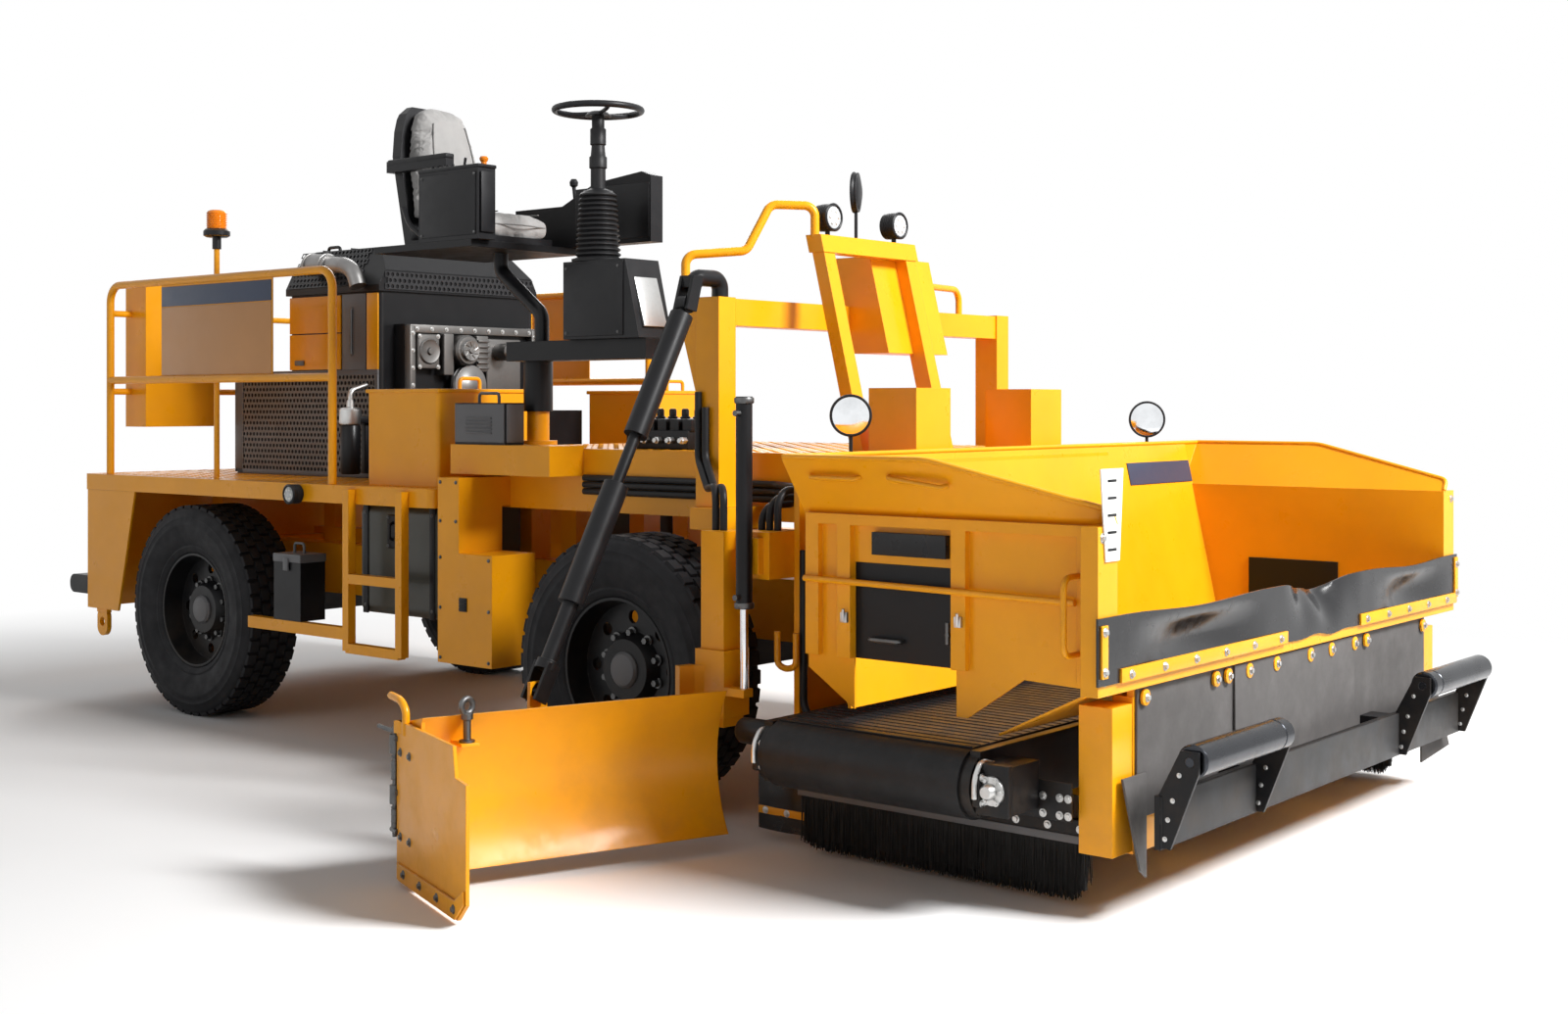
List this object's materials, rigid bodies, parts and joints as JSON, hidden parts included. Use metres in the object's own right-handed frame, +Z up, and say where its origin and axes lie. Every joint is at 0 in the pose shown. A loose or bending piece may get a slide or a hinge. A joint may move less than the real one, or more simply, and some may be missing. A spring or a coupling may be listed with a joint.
{
  "type": "self-propelled road widener",
  "caption": "Wheeled road widener: a front hopper with push rollers feeds a cross conveyor, and a side strike-off blade on a braced carriage levels what it lays.",
  "frame": {"origin": "on the ground under the middle of the whole footprint", "axes": "+X forward to the push rollers, +Y to the machine's left, +Z up"},
  "size_m": [6.897, 4.2944, 2.9647],
  "materials": {
    "yellow": "gloss",
    "black": "satin",
    "grey_steel": "satin",
    "olive": "satin",
    "chrome": "polished",
    "tyre": "matt",
    "rubber": "matt",
    "bristle": "matt",
    "amber": "gloss",
    "seat": "satin",
    "plastic": "satin"
  },
  "bodies": {
    "chassis": {"frame_rails": "yellow", "frame_members": "yellow", "bulkhead": "yellow", "front_frame": "yellow", "rear_deck": "yellow", "tail": "yellow", "rear_bumper": "black", "axles": "black", "engine": "black", "enclosure": "yellow", "hood": "black", "deck_boxes": "yellow", "side_tanks": "olive", "ladders": "yellow", "guard_rails": "yellow", "beacon_lens": "amber", "tool_boxes": "grey_steel", "step_lockers": "yellow", "platform": "yellow", "gantry": "yellow", "work_lamps": "plastic", "mirrors": "chrome", "hopper": "yellow", "belt": "rubber", "conveyor_frame": "black", "brush_bars": "black", "bristles": "bristle", "rubber_flaps": "rubber", "push_beam": "grey_steel", "column": "yellow", "hoses": "rubber", "lift_barrel": "black", "gooseneck": "black"},
    "knuckle_right": {"knuckle_right": "black"},
    "knuckle_left": {"knuckle_left": "black"},
    "wheel_rear_right": {"rim_rear_right": "black", "tyre_rear_right": "tyre"},
    "wheel_rear_left": {"rim_rear_left": "black", "tyre_rear_left": "tyre"},
    "wheel_front_right": {"rim_front_right": "black", "tyre_front_right": "tyre"},
    "wheel_front_left": {"rim_front_left": "black", "tyre_front_left": "tyre"},
    "roller_right": {"roller_right": "grey_steel"},
    "roller_left": {"roller_left": "grey_steel"},
    "gate_right": {"gate_right": "grey_steel"},
    "gate_left": {"gate_left": "grey_steel"},
    "carriage": {"carriage": "yellow", "lift_rod": "chrome"},
    "blade": {"blade": "yellow"},
    "end_gate": {"end_gate": "yellow"},
    "brace_upper": {"brace_upper": "black"},
    "brace_middle": {"brace_middle": "black"},
    "brace_lower": {"brace_lower": "black"},
    "station": {"station_arm": "black", "seat_shell": "plastic", "seat_cushions": "seat", "station_panels": "black", "steer_column": "plastic"},
    "steer_wheel": {"steer_wheel": "plastic"}
  },
  "joints": [
    {"name": "steer_right", "type": "hinge", "parent": "chassis", "child": "knuckle_right", "pos_m": [0.8725, -0.31281, 0.538], "axis": [0, 0, 1], "range_deg": [-28, 28]},
    {"name": "steer_left", "type": "hinge", "parent": "chassis", "child": "knuckle_left", "pos_m": [0.8725, 1.35719, 0.538], "axis": [0, 0, 1], "range_deg": [-28, 28]},
    {"name": "spin_rear_right", "type": "hinge", "parent": "chassis", "child": "wheel_rear_right", "pos_m": [-2.2945, -0.41181, 0.538], "axis": [0, 1, 0], "continuous": true},
    {"name": "spin_rear_left", "type": "hinge", "parent": "chassis", "child": "wheel_rear_left", "pos_m": [-2.2945, 1.45619, 0.538], "axis": [0, 1, 0], "continuous": true},
    {"name": "spin_front_right", "type": "hinge", "parent": "knuckle_right", "child": "wheel_front_right", "pos_m": [0.8725, -0.54381, 0.538], "axis": [0, 1, 0], "continuous": true},
    {"name": "spin_front_left", "type": "hinge", "parent": "knuckle_left", "child": "wheel_front_left", "pos_m": [0.8725, 1.58819, 0.538], "axis": [0, 1, 0], "continuous": true},
    {"name": "roll_right", "type": "hinge", "parent": "chassis", "child": "roller_right", "pos_m": [3.4065, -0.43881, 0.513], "axis": [0, 1, 0], "continuous": true},
    {"name": "roll_left", "type": "hinge", "parent": "chassis", "child": "roller_left", "pos_m": [3.4065, 1.48319, 0.513], "axis": [0, 1, 0], "continuous": true},
    {"name": "gate_lift_right", "type": "slide", "parent": "chassis", "child": "gate_right", "axis": [0, 0, 1], "range_m": [-0.15, 0.15]},
    {"name": "gate_lift_left", "type": "slide", "parent": "chassis", "child": "gate_left", "axis": [0, 0, 1], "range_m": [0, 0.3]},
    {"name": "strike_off_lift", "type": "slide", "parent": "chassis", "child": "carriage", "axis": [0, 0, 1], "range_m": [0, 0.2]},
    {"name": "strike_off_tilt", "type": "hinge", "parent": "carriage", "child": "blade", "pos_m": [1.5725, -0.91781, 0.4], "axis": [-0.9397, 0.342, 0], "range_deg": [0, 10]},
    {"name": "end_gate_lift", "type": "slide", "parent": "blade", "child": "end_gate", "axis": [0, 0, 1], "range_m": [0, 0.12]},
    {"name": "brace_swing", "type": "hinge", "parent": "chassis", "child": "brace_upper", "pos_m": [1.2445, -0.65881, 1.975], "axis": [-1, 0, 0], "range_deg": [0, 4.5]},
    {"name": "brace_lift_stroke", "type": "slide", "parent": "brace_upper", "child": "brace_middle", "axis": [0, 0.4845, 0.8748], "range_m": [0, 0.18]},
    {"name": "brace_tilt_stroke", "type": "slide", "parent": "brace_middle", "child": "brace_lower", "axis": [0, 0.4845, 0.8748], "range_m": [0, 0.11]},
    {"name": "station_swing", "type": "hinge", "parent": "chassis", "child": "station", "pos_m": [-0.0575, -0.21781, 1.7], "axis": [0, 0, -1], "range_deg": [0, 35]},
    {"name": "steer_wheel_turn", "type": "hinge", "parent": "station", "child": "steer_wheel", "pos_m": [0.3825, -0.27781, 2.852], "axis": [0, 0, 1], "continuous": true}
  ],
  "couplings": [
    {"joint": "steer_left", "follows": "steer_right", "ratio": 1},
    {"joint": "brace_swing", "follows": "strike_off_lift", "rad_per_m": 0.376},
    {"joint": "brace_lift_stroke", "follows": "strike_off_lift", "ratio": 0.8434},
    {"joint": "brace_tilt_stroke", "follows": "strike_off_tilt", "m_per_rad": 0.6081}
  ]
}
